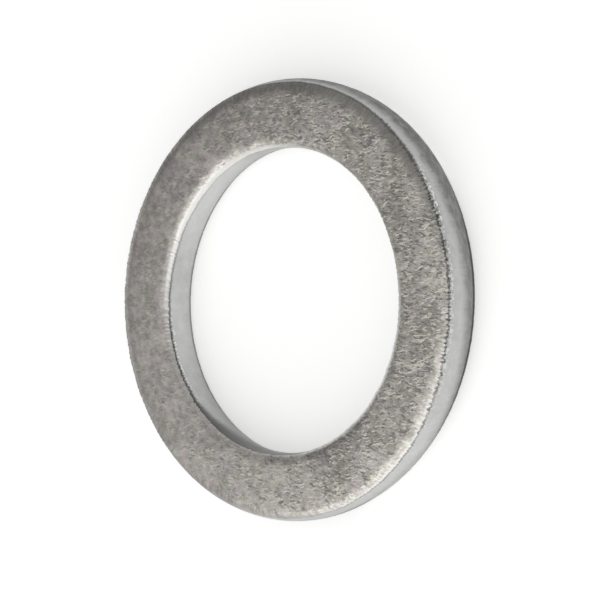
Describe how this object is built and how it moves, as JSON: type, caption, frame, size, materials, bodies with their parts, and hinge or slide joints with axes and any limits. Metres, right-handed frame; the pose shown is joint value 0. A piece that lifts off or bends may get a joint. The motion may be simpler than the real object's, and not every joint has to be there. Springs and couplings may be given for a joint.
{
  "type": "sealing washer",
  "caption": "Flat ring of soft aluminium with a plain bore, a crowned rim and rounded die-cut edges, crushed under a drain plug or banjo bolt to seal it.",
  "frame": {"origin": "centre of the ring, on its flat lower face", "axes": "+Z along the ring's axis, towards the face with the die rolls; +X along the streaks that rolling left in the sheet"},
  "size_m": [0.02, 0.02, 0.002],
  "materials": {
    "aluminium": "mill-finish sheet with fine streaks along the rolling direction, smooth satin sheared walls"
  },
  "bodies": {
    "root": {"washer": "aluminium"}
  },
  "joints": []
}
